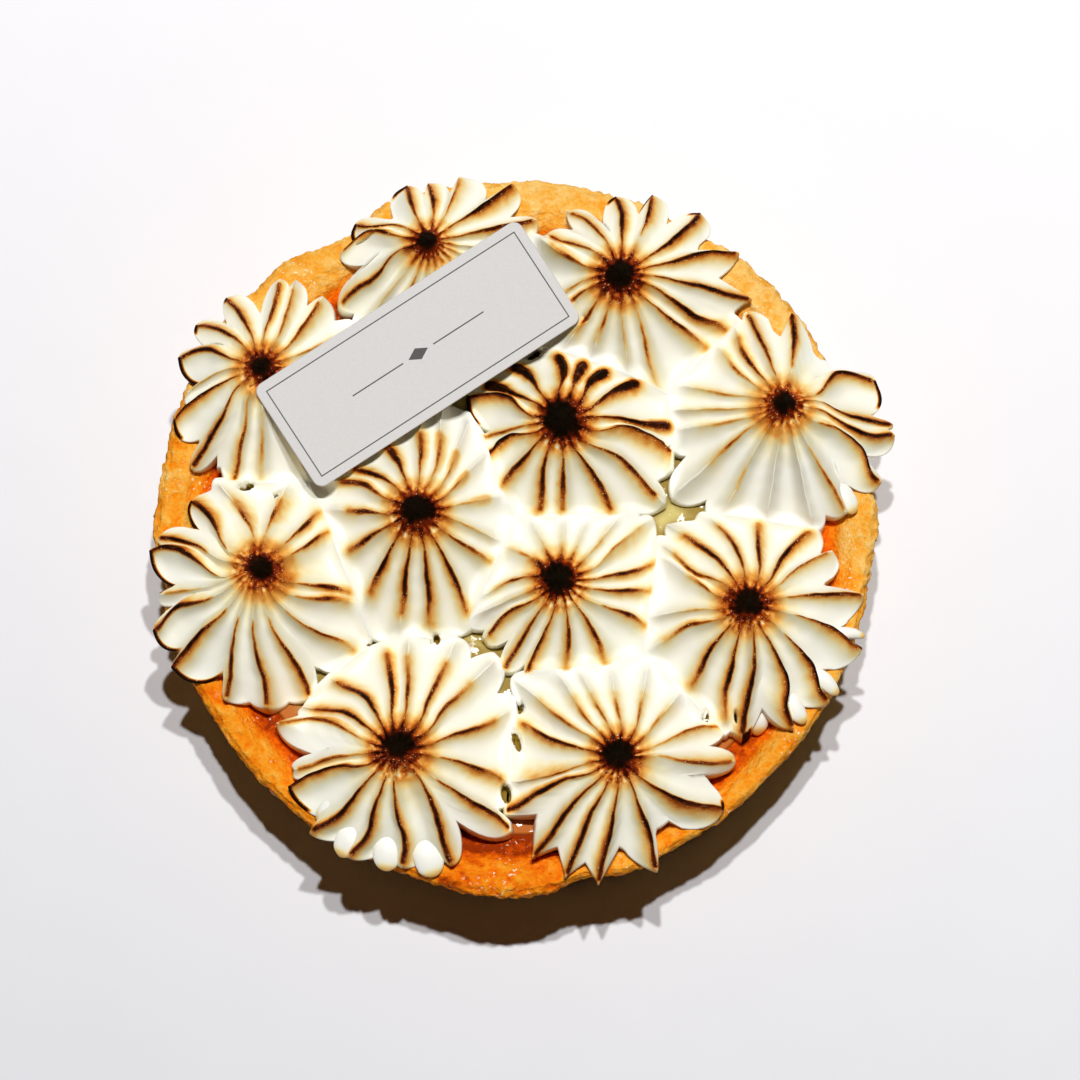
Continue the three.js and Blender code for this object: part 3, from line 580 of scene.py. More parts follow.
def charred_peak(grid):
    """The charred peak, with lumps of caramel round it that run out along the crests."""
    form = grid.form
    east, north = form.char_offset
    distance = np.hypot(grid.x - form.peak[0] - east, grid.y - form.peak[1] - north)
    loose = np.minimum(distance / 2.5, 1)
    along_crests = (grid.crestness**1.5 - 0.4) * smoothstep(distance, form.char, form.char + 1.5)
    # A wide ring of caramel is lumpier, and a narrow one runs out farther along the crests.
    rays, widened, rough = (2.1, 0.3, 1.0) if form.caramel < 2 * form.char else (0.8, 0.0, 1.2)
    lumps = 0.8 * grid.lumps + (0.35 + 0.084 * form.caramel) * grid.broad
    ragged = distance + lumps * loose * rough - rays * along_crests
    south = smoothstep(-np.sin(grid.angle), -0.2, 0.6)
    out = (ragged - form.char) / ((form.caramel - form.char) / CARAMEL_OUT * (1 + widened * south))
    ring = np.interp(out, *zip(*CHAR_FALL))
    ring = ring * (1 - 0.45 * smoothstep(distance, form.caramel + 1, form.caramel + 3.5))
    uneven = (0.34 * grid.lumps + 0.18 * surface_noise(grid, 0.5, 160)) * np.minimum(2.5 * ring, 1)
    return ring + uneven * grid.near * smoothstep(distance, form.char, form.char + 1)


def channel_shade(grid):
    """Painted shade on the channels' walls and painted shadow of the peak at their inner ends, 0 to 1,
    mostly on the side away from the light."""
    south = smoothstep(-np.sin(grid.angle), -0.3, 0.7)
    wall = smoothstep(grid.crestness, 0.15, 0.7) * (1 - smoothstep(grid.crestness, 0.93, 1.0))
    inner = np.exp(-(((grid.radius - grid.form.char - 2.8) / 2.4) ** 2)) * (1 - grid.crestness)
    deep = smoothstep(grid.lead, 0.5, 3.5) * smoothstep(grid.radius, 2.5, 5)
    return (0.15 + 0.85 * south) * deep * np.clip(0.75 * wall + 0.9 * inner, 0, 1)


def lay_out(form):
    """The grid of a rosette's surface: rows from the peak outwards, and columns from ridge to ridge."""
    shares = np.linspace(0, 1, ROWS) ** 0.97
    radii = shares[:, None] * form.each("tip")[None, :]
    bearings = np.stack([one.bearing(radii[:, k]) for k, one in enumerate(form.ridges)], axis=1)
    wave = np.random.default_rng(form.seed + 100).uniform(0, 2 * math.pi, (2, RIDGE_COUNT))
    wiggle = 0.05 * np.sin(radii * 0.9 + wave[0]) + 0.03 * np.sin(radii * 2.1 + wave[1])
    bearings = spread(bearings + np.degrees(wiggle / np.maximum(radii, 4)), 5.5)
    bearings = np.concatenate([bearings, bearings[:, :1] + 360], axis=1)
    step = np.arange(COLUMNS_PER_RIDGE) / COLUMNS_PER_RIDGE
    across = np.tile(0.40 * step + 0.60 * (0.5 - 0.5 * np.cos(np.pi * step)), RIDGE_COUNT)
    ridge = np.repeat(np.arange(RIDGE_COUNT), COLUMNS_PER_RIDGE)
    after = (ridge + 1) % RIDGE_COUNT
    return SimpleNamespace(
        form=form, shares=shares, across=across, ridge=ridge, after=after,
        nearest=np.where(across < 0.5, ridge, after), crestness=np.abs(2 * across - 1)[None, :],
        angle=np.radians(bearings[:, ridge] * (1 - across) + bearings[:, ridge + 1] * across),
        spacing=np.radians(bearings[:, ridge + 1] - bearings[:, ridge]),
    )


def nearest(grid, key):
    """A value of the ridge nearest to each column."""
    return grid.form.each(key)[grid.nearest][None, :]


def between(grid, key):
    """A value of the ridges on both sides of each column, blended across the channel."""
    values = grid.form.each(key)
    return values[grid.ridge] * (1 - grid.across) + values[grid.after] * grid.across


def surface_noise(grid, size, seed):
    return lattice_noise(grid.flat, size, seed + grid.form.seed).reshape(grid.shape)


def petal_reach(grid):
    """How far each column reaches. Petals end in round lobes or in points, and the notch between two
    is beside the one that overhangs."""
    form, across = grid.form, grid.across
    leans, curls = form.each("lean"), form.each("curl")
    grid.curl = np.maximum(curls[grid.ridge], 0) - np.maximum(-curls[grid.after], 0)
    skew = np.maximum(leans[grid.ridge], 0) - np.maximum(-leans[grid.after], 0) - grid.curl
    deepest = 0.5 - 0.38 * np.clip(1.6 * skew, -0.9, 0.9)
    toward = np.where(across < deepest, across / deepest, (1 - across) / (1 - deepest))
    power = 2.5 - 2.0 * form.each("point")[grid.nearest]
    left = (1 - 0.35 * np.abs(grid.curl)) * (1 - form.each("web")[grid.ridge]) * between(grid, "lobed")
    grid.tip = between(grid, "tip")
    notch = NOTCH_DEPTH * grid.spacing[-1] * np.clip((toward - 0.05) / 0.95, 0, 1) ** power * left
    return grid.tip * (1 - np.minimum(notch, DEEPEST_NOTCH))


def place_rows(grid, reach):
    """Lays the rows out to a reach, and finds how far the rosette stands over its neighbours there."""
    form = grid.form
    grid.reach = reach
    grid.radius = grid.shares[:, None] * reach[None, :]
    grid.x = form.peak[0] + grid.radius * np.cos(grid.angle)
    grid.y = form.peak[1] + grid.radius * np.sin(grid.angle)
    grid.dome = form.dome_height(grid.x, grid.y)
    grid.others = others_height(form, grid.x, grid.y)
    grid.lead = grid.dome - grid.others


def end_at_neighbours(grid):
    """Ends a rosette just past the line where a neighbour stands higher."""
    column = np.arange(len(grid.across))
    for _ in range(3):
        outdone = grid.lead < -0.3
        first = np.clip(outdone.argmax(axis=0), 1, ROWS - 1)
        before, at = grid.lead[first - 1, column], grid.lead[first, column]
        part = np.clip((before + 0.3) / np.maximum(before - at, 1e-6), 0, 1)
        inner, outer = grid.radius[first - 1, column], grid.radius[first, column]
        place_rows(grid, np.where(outdone.any(axis=0), inner + part * (outer - inner), grid.reach))


def raise_ridges(grid):
    """The surface's points: channels between crisp crests, which die away towards a neighbour and
    lean to one side."""
    radius, crestness = grid.radius, grid.crestness
    grid.width = grid.spacing * radius
    typical = channel_depth(2 * math.pi / RIDGE_COUNT * radius)
    depth = channel_depth(grid.width) * smoothstep(radius, 0.3, 3.2)
    hollow = 1 - crestness ** (1.6 + 0.8 * smoothstep(radius, 6, 16))
    fade = smoothstep(grid.lead, -0.2, 3.4)
    height = smooth_max(grid.dome, grid.others, 2.2) + (0.45 * typical - hollow * depth) * fade
    over_rim = smoothstep(np.hypot(grid.x, grid.y), *BODY_RISE)
    height = smooth_max(height, CURD_HEIGHT + 1.2 + (RIM_HEIGHT - CURD_HEIGHT - 0.8) * over_rim, 1.2)
    grid.lean = nearest(grid, "lean")
    push = 1.25 * grid.lean * crestness**3.5 * smoothstep(radius / grid.tip, 0.25, 0.75)
    push = push * np.minimum(1, grid.width / 5) * fade
    grid.x = grid.x - push * np.sin(grid.angle)
    grid.y = grid.y + push * np.cos(grid.angle)
    return np.stack([grid.x, grid.y, height], axis=2)


def roughen(grid, points):
    """Adds bumps, lumps round the peak and the small holes, and keeps the surface under the card."""
    form = grid.form
    grid.shape = points.shape[:2]
    grid.flat = points.reshape(-1, 3)
    grid.broad = surface_noise(grid, 3.4, 40)
    grid.lumps = surface_noise(grid, 1.0, 60)
    grid.near = 1 - smoothstep(grid.radius, form.caramel - 0.6, form.caramel + 1.8)
    grid.hole = holes_distance(grid.x, grid.y)
    uneven = smoothstep(grid.radius, 2, 7) * smoothstep(grid.lead, -0.3, 2)
    points[:, :, 2] += 0.09 * grid.broad * uneven + 0.42 * grid.lumps * grid.near
    points[:, :, 2] += (CURD_HEIGHT + 0.3 - points[:, :, 2]) * smoothstep(grid.hole, -0.1, 0.1)
    return keep_under_card(grid.flat).reshape(points.shape)


def rings_below(form, margin, outward):
    """Rings that roll a rosette's edge under, flaring it over the curd, and close its body below."""
    far = from_middle(margin)
    foot = np.where(far > 57.2, RIM_HEIGHT, CURD_HEIGHT)
    drop = np.clip(0.5 * (margin[:, 2] - foot), 0.3, 1.2)
    over_curd = 1 - smoothstep(far, 53.5, 56.5)
    flare = outward * (0.18 * np.clip(margin[:, 2] - CURD_HEIGHT, 0, 5) * over_curd)[:, None]
    rings = []
    for turn in np.radians([30, 60, 90, 120]):
        ring = margin.copy()
        ring[:, :2] += outward * (0.3 * math.sin(turn)) + flare * (0.25 * (1 - math.cos(turn)))
        ring[:, 2] -= drop * (1 - math.cos(turn))
        rings.append(ring)
    centre = form.peak[:2]
    for share in (1, 0.93, 0.8, 0.5):
        ring = margin.copy()
        ring[:, :2] = centre + (margin[:, :2] - centre) * share + flare * (share == 1)
        over_rim = smoothstep(from_middle(ring), *UNDERSIDE_RISE)
        ring[:, 2] = UNDERSIDE_HEIGHT + (RIM_HEIGHT - CURD_HEIGHT) * over_rim
        rings.append(ring)
    return rings


def build_rosette(form):
    grid = lay_out(form)
    place_rows(grid, petal_reach(grid))
    end_at_neighbours(grid)
    points = roughen(grid, raise_ridges(grid))
    burn = np.maximum(np.maximum(burnt_lines(grid), burnt_edges(grid)), charred_peak(grid))
    burn = np.clip(burn, 0, 1) * (grid.hole < 0)
    # Painted shade in the channels, kept off the burns.
    shade = channel_shade(grid) * (1 - smoothstep(burn, 0.04, 0.24))

    last = grid.angle[-1]
    below = rings_below(form, points[-1], np.stack([np.cos(last), np.sin(last)], axis=1))
    columns = len(grid.across)
    rings = ROWS - 1 + len(below)
    top = rings * columns
    vertices = [*points[1:], *below, points[:1, 0], [[*form.peak[:2], UNDERSIDE_HEIGHT]]]
    quads = [ring_faces(rings, columns)]
    triangles = [cap_faces(top, 0, columns), cap_faces(top + 1, top - columns, columns)[:, ::-1]]
    used = top + 2
    blobs = [blob_mesh(form, *blob) for blob in BLOBS.get(form.name, ())]
    for blob_points, _ in blobs:
        vertices.append(blob_points)
        quads.append(ring_faces(BLOB_RINGS, BLOB_COLUMNS)[:, ::-1] + used)
        upper = used + len(blob_points) - BLOB_COLUMNS
        triangles.append(cap_faces(used, used, BLOB_COLUMNS)[1:-1, ::-1])
        triangles.append(cap_faces(upper, upper, BLOB_COLUMNS)[1:-1])
        used += len(blob_points)
    piece = make_mesh(f"meringue_{form.name[-2:]}", *map(np.concatenate, (vertices, quads, triangles)))
    # Each value over the surface, at the peak, and on the underside and the blobs.
    values_over = {
        "toast": (burn, 1, 0), "hole": (grid.hole, -1, -1), "shade": (shade, 0, 0),
        "ruddy": (grid.near, 1, 0),
    }
    for name, (surface, at_peak, elsewhere) in values_over.items():
        values =[surface[1:].ravel(), np.tile(surface[-1], len(below)), [at_peak, elsewhere]]
        values += [toast if name == "toast" else np.full(len(toast), elsewhere) for _, toast in blobs]
        add_values(piece, name, np.concatenate(values))
    return piece


# ---- Shortcrust case ----

def rim_offset(bearing):
    """How far the rim's outer edge is from RIM_RADIUS at a bearing in degrees."""
    offset = RIM_PUSH[1] * np.cos(np.radians(bearing - RIM_PUSH[0]))
    offset += CRUMB_RELIEF * np.sin(np.radians(7 * bearing)) * np.cos(np.radians(3 * bearing + 40))
    for centre, half_width, amount in RIM_SWELLS:
        across = ((bearing - centre + 180) % 360 - 180) / half_width
        offset += np.where(np.abs(across) < 1, amount * (1 - across**2) ** 2, 0)
    return offset


def drawn_profile(corners, counts):
    """Points along the lines between corners, with so many steps on each line."""
    corners = np.array(corners, dtype=float)
    profile = [start + (end - start) * step / count
               for start, end, count in zip(corners[:-1], corners[1:], counts)
               for step in range(count)]
    return np.array(profile + [corners[-1]])


def round_ring(reach, height, bearing):
    """A level ring of points, at a reach from the middle for each bearing in degrees."""
    turn = np.radians(bearing)
    return np.column_stack([reach * np.cos(turn), reach * np.sin(turn), np.full(len(turn), height)])


def round_piece(name, vertices, columns):
    """A closed mesh of rings of vertices, which start at the bottom, and two last vertices: the
    centres of its top and its bottom."""
    body = len(vertices) - 2
    caps = [cap_faces(body, body - columns, columns), cap_faces(body + 1, 0, columns)[:, ::-1]]
    return make_mesh(name, vertices, ring_faces(body // columns, columns)[:, ::-1], np.concatenate(caps))


def build_crust():
    middle = (RIM_RADIUS + INNER_RADIUS) / 2
    profile = drawn_profile((
        (BASE_RADIUS - 1.2, 0), (BASE_RADIUS, 1.0), (RIM_RADIUS - 1.4, RIM_EDGE_HEIGHT - 3.6),
        (RIM_RADIUS, RIM_EDGE_HEIGHT), (RIM_RADIUS - 0.25, RIM_HEIGHT - 0.9), (middle + 1.9, RIM_HEIGHT),
        (middle - 1.2, RIM_HEIGHT - 0.2), (INNER_RADIUS, INNER_EDGE_HEIGHT), (INNER_RADIUS - 1.6, 21.6),
        (CURD_RADIUS, 20.3), (CURD_RADIUS - 1.4, 19.2), (FLOOR_RADIUS, FLOOR_THICKNESS),
    ), (2, 22, 7, 5, 8, 6, 8, 5, 9, 3, 2))
    bearing = np.linspace(0, 360, CRUST_COLUMNS, endpoint=False)
    rings = []
    for radius, height in profile:
        outside = np.clip((radius - INNER_RADIUS) / (RIM_RADIUS - INNER_RADIUS), 0, 1.2)
        reach = radius + outside * smoothstep(height, 0.5, 6) * rim_offset(bearing)
        rings.append(round_ring(reach, height, bearing))
    points = np.concatenate(rings)
    radius, height = from_middle(points), points[:, 2].copy()
    crumb = 0.55 * lattice_noise(points, 3.1, 3) + 0.45 * lattice_noise(points, 1.5, 4)
    grain = lattice_noise(points, 0.75, 5)
    shown = smoothstep(height, 0.2, 3) * smoothstep(radius, CURD_RADIUS - 0.6, CURD_RADIUS + 1.5)
    outer = smoothstep(radius, 60.5, 63.5)
    outward = ((0.46 * crumb + 0.34 * grain) * shown - 0.26) * outer
    points[:, :2] *= (1 + outward / radius)[:, None]
    points[:, 2] += (0.34 * crumb + 0.15 * grain) * smoothstep(height, 20.2, 24.5) * shown
    vertices = np.concatenate([points, [[0, 0, FLOOR_THICKNESS], [0, 0, 0]]])
    piece = round_piece("shortcrust_case", vertices, CRUST_COLUMNS)
    # Golden at the back and deeper orange at the front; darker in the crumbs' hollows and down the inside,
    # which is painted shade.
    baked = np.tile(bearing, len(profile))
    bake = 0.28 - 0.17 * np.cos(np.radians(baked - 60)) + 0.10 * np.exp(-(((baked - 265) / 20) ** 2))
    # Darker down the inside: painted shade.
    bake += 0.50 * (1 - smoothstep(radius, INNER_RADIUS - 2.5, INNER_RADIUS + 0.6))
    # Darker in the crumbs' hollows: painted shade.
    bake += 0.20 * (1 - smoothstep(height, 14, 22)) * outer - 0.14 * crumb - 0.07 * grain
    bake += 0.10 * lattice_noise(points, 5.5, 8)
    wall = (1 - smoothstep(height, 13, 21.5)) * (radius > INNER_RADIUS)
    add_values(piece, "bake", np.concatenate([np.clip(bake, 0, 1), [0.7, 0.7]]))
    add_values(piece, "wall", np.concatenate([wall, [1.0, 1.0]]))
    return piece


# ---- Curd ----

def build_curd():
    bottom = FLOOR_THICKNESS + 0.3
    side = [(FLOOR_RADIUS - 0.4, bottom), (CURD_RADIUS - 1.8, CURD_HEIGHT - 1.0)]
    radii = np.linspace(CURD_RADIUS - 0.15, 0.8, 78)
    level = [(radius, CURD_HEIGHT + 0.25 * math.exp((radius - CURD_RADIUS) / 1.1)) for radius in radii]
    bearing = np.linspace(0, 360, CURD_COLUMNS, endpoint=False)
    points = np.concatenate([round_ring(radius, height, bearing) for radius, height in side + level])
    surface = np.arange(len(points)) >= len(side) * CURD_COLUMNS
    points[:, 2] += (0.20 * lattice_noise(points, 6, 11) + 0.09 * lattice_noise(points, 2.2, 12)) * surface
    vertices = np.concatenate([points, [[0, 0, CURD_HEIGHT], [0, 0, bottom]]])
    piece = round_piece("lemon_curd_filling", vertices, CURD_COLUMNS)
    add_values(piece, "edge", smoothstep(from_middle(vertices), 45, 52))
    # Darker where the rosettes stand over the curd: painted shade.
    add_values(piece, "deep", smoothstep(others_height(None, *vertices[:, :2].T), 20.2, 22.6))
    return piece


# ---- Card ----

def build_card():
    length, width, thickness = CARD_SIZE
    outline = []
    for side_x, side_y, start in ((1, -1, -90), (1, 1, 0), (-1, 1, 90), (-1, -1, 180)):
        for turn in np.radians(np.linspace(start, start + 90, 9)):
            outline.append((
                side_x * (length / 2 - CARD_CORNER) + CARD_CORNER * math.cos(turn),
                side_y * (width / 2 - CARD_CORNER) + CARD_CORNER * math.sin(turn),
            ))
    outline = np.array(outline)
    columns = len(outline)
    shrink = 1 - 0.16 / np.abs(outline).max(axis=0)
    rings = [
        np.column_stack([outline * shrink if inset else outline, np.full(columns, height)])
        for inset, height in ((1, 0), (0, 0.1), (0, thickness - 0.1), (1, thickness))
    ]
    local = np.concatenate(rings + [np.array([[0, 0, 0], [0, 0, thickness]])])
    points = local @ card_axes().T + np.array(CARD_CENTRE)
    caps = [cap_faces(4 * columns, 0, columns)[:, ::-1], cap_faces(4 * columns + 1, 3 * columns, columns)]
    piece = make_mesh("plain_card", points, ring_faces(4, columns)[:, ::-1], np.concatenate(caps))
    for polygon in piece.data.polygons:
        polygon.use_smooth = len(polygon.vertices) == 4
    add_values(piece, "along", local[:, 0])
    add_values(piece, "across", local[:, 1])
    return piece


# ---- Materials ----

# Linear colours of meringue at each degree of toasting, away from the peaks and close to them.
TOASTING = (0.00, 0.06, 0.14, 0.24, 0.35, 0.47, 0.62, 0.80, 1.00)
BURNT = (
    (0.925, 0.918, 0.835), (0.925, 0.870, 0.630), (0.900, 0.675, 0.270), (0.800, 0.385, 0.066),
    (0.550, 0.150, 0.014), (0.235, 0.038, 0.005), (0.075, 0.012, 0.002), (0.018, 0.005, 0.001),
    (0.005, 0.003, 0.001),
)
CARAMEL = (
    (0.925, 0.918, 0.835), (0.925, 0.880, 0.650), (0.900, 0.690, 0.300), (0.800, 0.370, 0.060),
    (0.560, 0.125, 0.010), (0.250, 0.024, 0.004), (0.095, 0.008, 0.002), (0.020, 0.004, 0.001),
    (0.005, 0.003, 0.001),
)
# Painted sparkle on the burns.
PAINTED_SPARKLE = (0.90, 0.66, 0.30, 1)
# Painted shade for the meringue's channels.
CHANNEL_PAINTED_SHADE = (0.46, 0.44, 0.30, 1)
# Curd seen down the small holes, darkened by painted shade.
HOLE_PAINTED_SHADE = (0.24, 0.15, 0.02, 1)
RIM_BAKE = (
    (0.00, (0.920, 0.580, 0.170)), (0.22, (0.900, 0.420, 0.050)), (0.42, (0.900, 0.290, 0.010)),
    (0.62, (0.860, 0.165, 0.003)), (0.80, (0.620, 0.080, 0.002)), (1.00, (0.280, 0.030, 0.002)),
)
WALL_BAKE = ((0.1, (0.62, 0.35, 0.11)), (0.5, (0.48, 0.23, 0.052)), (0.9, (0.30, 0.11, 0.02)))
# Painted glints of a wet crust.
PAINTED_GLINT = (1.0, 0.90, 0.66, 1)
CURD_YELLOW = ((0.35, (0.50, 0.42, 0.11)), (0.65, (0.63, 0.52, 0.21)))
# Painted shade on the curd under the rosettes.
CURD_PAINTED_SHADE = (0.25, 0.155, 0.018, 1)
CURD_BY_CRUST = (0.45, 0.13, 0.02, 1)
CARD_GREY = ((0.3, (0.615, 0.595, 0.575)), (0.7, (0.655, 0.635, 0.615)))
CARD_INK = (0.05, 0.045, 0.04, 1)
# Painted light falloff over the floor.
FLOOR_PAINTED_FALLOFF = ((0.0, (0.750, 0.752, 0.775)), (0.5, (0.850, 0.845, 0.865)), (1.0, (0.950, 0.930, 0.950)))


class Look:
    """A material as it is put together. Most methods add a node and give back its output."""

    def __init__(self, name):
        self.material = bpy.data.materials.new(name)
        self.material.use_nodes = True
        self.tree = self.material.node_tree
        self.tree.nodes.clear()
        output = self.tree.nodes.new("ShaderNodeOutputMaterial")
        self.shader = self.tree.nodes.new("ShaderNodeBsdfPrincipled")
        self.tree.links.new(self.shader.outputs["BSDF"], output.inputs["Surface"])

    def fill(self, node, inputs):
        """Links each input to an output, or sets it on its own socket where it is a plain value."""
        for key, value in inputs.items():
            if isinstance(value, bpy.types.NodeSocket):
                self.tree.links.new(value, node.inputs[key])
            else:
                node.inputs[key].default_value = value

    def finish(self, inputs):
        self.fill(self.shader, inputs)
        return self.material

    def add(self, kind, inputs, **settings):
        node = self.tree.nodes.new("ShaderNode" + kind)
        for key, value in settings.items():
            setattr(node, key, value)
        self.fill(node, inputs)
        return node

    def attribute(self, name):
        return self.add("Attribute", {}, attribute_name=name).outputs["Fac"]

    def place(self):
        return self.add("TexCoord", {}).outputs["Object"]

    def noise(self, scale, detail=3.0, roughness=0.5):
        inputs = {"Vector": self.place(), "Scale": scale, "Detail": detail, "Roughness": roughness}
        return self.add("TexNoise", inputs).outputs[0]

    def calc(self, operation, *values, clamp=False):
        return self.add("Math", dict(enumerate(values)), operation=operation, use_clamp=clamp).outputs[0]

    def times(self, a, b):
        return self.calc("MULTIPLY", a, b)

    def under(self, value, limit):
        return self.calc("LESS_THAN", value, limit)

    def rescale(self, value, low, high, to_low=0.0, to_high=1.0):
        return self.add("MapRange", dict(enumerate((value, low, high, to_low, to_high)))).outputs[0]

    def mix(self, amount, a, b):
        return self.add("Mix", {0: amount, 6: a, 7: b}, data_type="RGBA").outputs[2]

    def bump(self, height, distance, strength):
        inputs = {"Height": height, "Distance": distance, "Strength": strength}
        return self.add("Bump", inputs).outputs["Normal"]

    def ramp(self, value, stops):
        node = self.add("ValToRGB", {"Fac": value})
        elements = node.color_ramp.elements
        while len(elements) > 1:
            elements.remove(elements[0])
        for number, (position, colour) in enumerate(stops):
            element = elements.new(position) if number else elements[0]
            element.position = position
            element.color = (*colour, 1)
        return node.outputs["Color"]


def meringue_material():
    look = Look("torched_meringue")
    toast = look.attribute("toast")
    grain = look.calc("SUBTRACT", look.noise(1500, 4.0, 0.65), 0.5)
    speckled = look.times(grain, look.rescale(toast, 0.05, 0.50, 0.0, 0.22))
    value = look.calc("ADD", toast, speckled, clamp=True)
    burnt, caramel = (look.ramp(value, zip(TOASTING, colours)) for colours in (BURNT, CARAMEL))
    colour = look.mix(look.times(look.attribute("ruddy"), 0.85), burnt, caramel)
    # Pale specks in the brown of the burns: painted sparkle.
    brown = look.times(look.rescale(value, 0.20, 0.32), look.rescale(value, 0.55, 0.70, 0.8, 0.0))
    colour = look.mix(look.times(look.rescale(look.noise(3200, 0.0), 0.72, 0.78), brown), colour, PAINTED_SPARKLE)
    # Greys the channels' walls and inner ends: painted shade.
    colour = look.mix(look.times(look.attribute("shade"), 0.38), colour, CHANNEL_PAINTED_SHADE)
    # The small holes show curd darkened by painted shade.
    hole = look.rescale(look.attribute("hole"), -0.04, 0.04)
    gloss = look.times(look.rescale(toast, 0.0, 0.35, 0.40, 0.02), look.calc("SUBTRACT", 1.0, hole))
    return look.finish({
        "Base Color": look.mix(hole, colour, HOLE_PAINTED_SHADE),
        "Roughness": look.rescale(toast, 0.0, 1.0, 0.42, 0.62),
        "Specular IOR Level": gloss,
        "Subsurface Weight": look.rescale(toast, 0.0, 0.4, 0.12, 0.0),
        "Subsurface Radius": (1.0, 0.85, 0.6),
        "Subsurface Scale": 0.0014,
        "Normal": look.bump(look.noise(2200, 3.0), 0.00012, look.rescale(toast, 0.1, 0.7, 0.10, 0.9)),
    })


def crust_material():
    look = Look("golden_shortcrust")
    wall = look.attribute("wall")
    fine = look.noise(1500, 3.0, 0.6)
    middling = look.noise(480, 3.0, 0.6)
    # The baking tone read here also carries painted shade down the inside and in the crumbs' hollows.
    bake = look.calc("ADD", look.attribute("bake"), look.rescale(fine, 0.25, 0.75, 0.11, -0.11))
    bake = look.calc("ADD", bake, look.rescale(middling, 0.3, 0.7, 0.16, -0.16), clamp=True)
    colour = look.mix(wall, look.ramp(bake, RIM_BAKE), look.ramp(bake, WALL_BAKE))
    # Pale specks in patches over the top: painted glints.
    patches = look.rescale(look.noise(140, 2.0), 0.53, 0.63, 0.0, 0.8)
    painted_glints = look.times(look.rescale(look.noise(2000, 0.0), 0.70, 0.76), patches)
    painted_glints = look.times(painted_glints, look.calc("SUBTRACT", 1.0, wall))
    wet = look.rescale(look.noise(620, 1.0), 0.64, 0.76)
    relief = look.calc("ADD", fine, look.times(middling, 1.6))
    return look.finish({
        "Base Color": look.mix(painted_glints, colour, PAINTED_GLINT),
        "Roughness": look.rescale(wet, 0.0, 1.0, 0.75, 0.25),
        "Specular IOR Level": look.rescale(wet, 0.0, 1.0, 0.02, 0.45),
        "Subsurface Weight": 0.08,
        "Subsurface Radius": (1.0, 0.5, 0.2),
        "Subsurface Scale": 0.001,
        "Normal": look.bump(relief, 0.00045, 0.9),
    })


def curd_material():
    look = Look("lemon_curd")
    colour = look.ramp(look.noise(160, 3.0), CURD_YELLOW)
    # Darkens the curd under the rosettes: painted shade.
    colour = look.mix(look.times(look.attribute("deep"), 0.85), colour, CURD_PAINTED_SHADE)
    wet = look.rescale(look.noise(520, 2.0), 0.60, 0.68)
    return look.finish({
        "Base Color": look.mix(look.attribute("edge"), colour, CURD_BY_CRUST),
        "Roughness": look.rescale(wet, 0.0, 1.0, 0.45, 0.14),
        "Specular IOR Level": look.rescale(wet, 0.0, 1.0, 0.03, 0.8),
        "Normal": look.bump(look.noise(260, 2.0), 0.0003, 0.35),
    })


def card_material():
    """A plain card with a thin border, and a lozenge between two short rules in its middle."""
    look = Look("white_card")
    along = look.calc("ABSOLUTE", look.attribute("along"))
    across = look.calc("ABSOLUTE", look.attribute("across"))

    def within(half_length, half_width):
        return look.times(look.under(along, half_length), look.under(across, half_width))

    end, side = CARD_SIZE[0] / 2 - CARD_MARGIN, CARD_SIZE[1] / 2 - CARD_MARGIN
    border = look.calc("SUBTRACT", within(end + CARD_LINE, side + CARD_LINE), within(end, side))
    start, stop, half_width = CARD_RULES
    rules = look.calc("SUBTRACT", within(stop, half_width), within(start, half_width))
    lozenge = look.under(look.calc("ADD", look.times(along, 0.55), across), 1.15)
    printed = look.calc("MAXIMUM", look.calc("MAXIMUM", border, lozenge), rules)
    return look.finish({
        "Base Color": look.mix(printed, look.ramp(look.noise(2500, 3.0), CARD_GREY), CARD_INK),
        "Roughness": 0.6,
    })


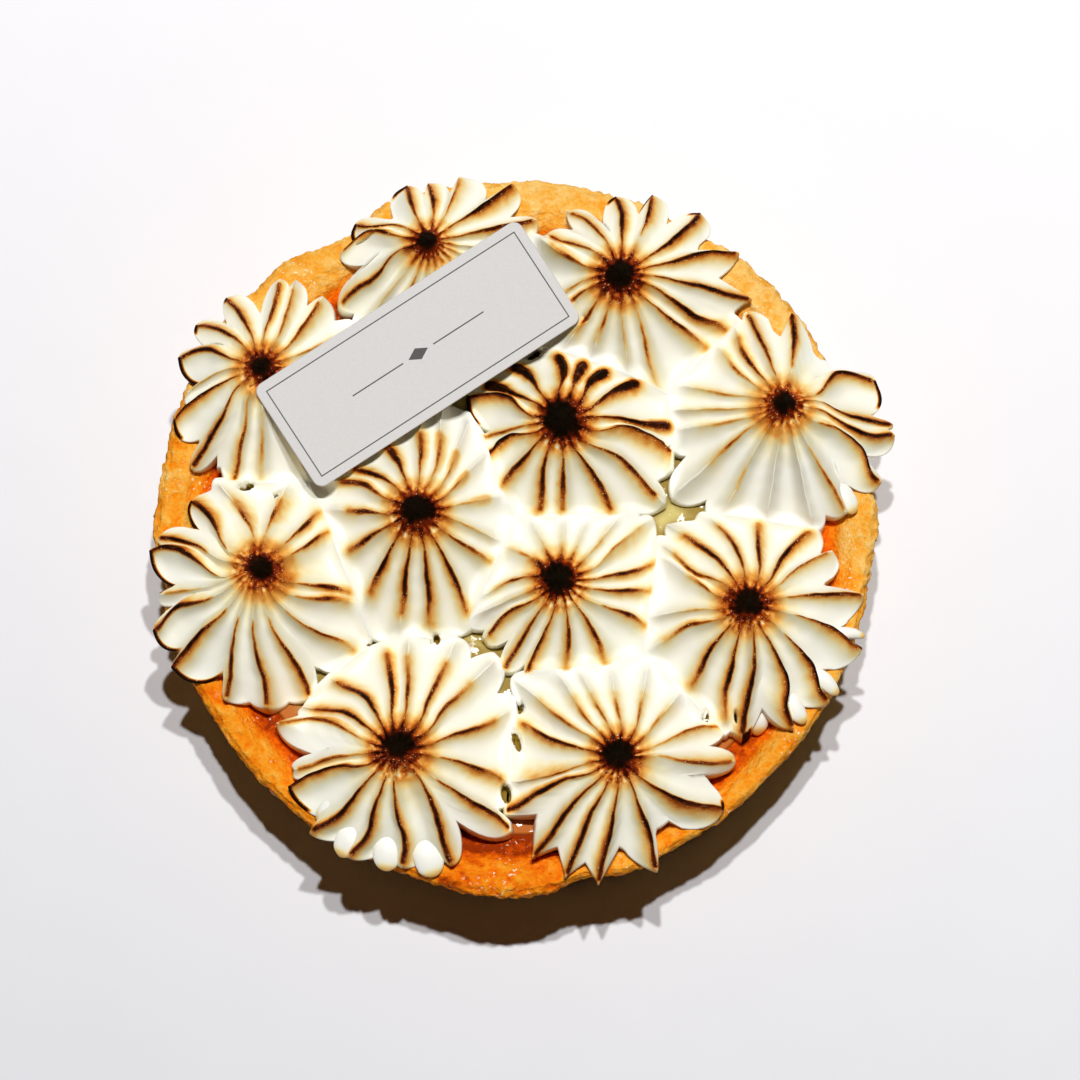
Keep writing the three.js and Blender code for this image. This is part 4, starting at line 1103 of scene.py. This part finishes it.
def floor_material():
    look = Look("pale_floor")
    parts = look.add("SeparateXYZ", {"Vector": look.place()}).outputs
    # Darker towards the front and the left: painted light falloff.
    shade = look.calc("ADD", look.times(parts[0], 0.35), parts[1])
    shade = look.calc("ADD", shade, look.rescale(look.noise(60, 4.0), 0.3, 0.7, -0.006, 0.006))
    return look.finish({
        "Base Color": look.ramp(look.rescale(shade, -0.12, 0.12), FLOOR_PAINTED_FALLOFF),
        "Roughness": 0.9,
        "Specular IOR Level": 0.1,
    })


# ---- Floor, lights and camera ----

def add_floor():
    bpy.ops.mesh.primitive_plane_add(size=6)
    floor = bpy.context.object
    floor.name = "floor"
    floor.data.materials.append(floor_material())


def aim(direction):
    return Vector(direction).to_track_quat("-Z", "Y").to_euler()


def add_light():
    for number, place in enumerate(LAMPS, 1):
        data = bpy.data.lights.new(f"lamp_{number}", "AREA")
        data.shape = "DISK"
        data.size = LAMP_SIZE
        data.energy = LAMP_POWER
        lamp = bpy.data.objects.new(f"lamp_{number}", data)
        lamp.location = place
        lamp.rotation_euler = aim(-np.array(place))
        bpy.context.scene.collection.objects.link(lamp)
    world = bpy.data.worlds.new("soft_room")
    bpy.context.scene.world = world
    world.use_nodes = True
    background = world.node_tree.nodes["Background"]
    background.inputs["Color"].default_value = ROOM_COLOUR
    background.inputs["Strength"].default_value = ROOM_LIGHT
    bpy.context.scene.view_settings.view_transform = "Standard"


def add_camera():
    data = bpy.data.cameras.new("view")
    data.sensor_width = SENSOR
    data.lens = SENSOR * VIEW_DISTANCE / VIEW_WIDTH
    data.clip_start = 0.01
    camera = bpy.data.objects.new("view", data)
    back = np.array([0, -math.sin(VIEW_TILT), math.cos(VIEW_TILT)])
    camera.location = (np.array(VIEW_TARGET) + VIEW_DISTANCE * back) * MM
    camera.rotation_euler = aim(-back)
    bpy.context.scene.collection.objects.link(camera)
    bpy.context.scene.camera = camera


# ---- The scene ----

def dress(piece, node, material):
    piece.data.materials.append(material)
    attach(piece, "root")
    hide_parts(node)


meringue = meringue_material()
for name, form in FORMS.items():
    dress(build_rosette(form), name, meringue)
dress(build_crust(), "crust", crust_material())
dress(build_curd(), "lemon_curd", curd_material())
dress(build_card(), "label_card", card_material())
add_floor()
add_light()
add_camera()
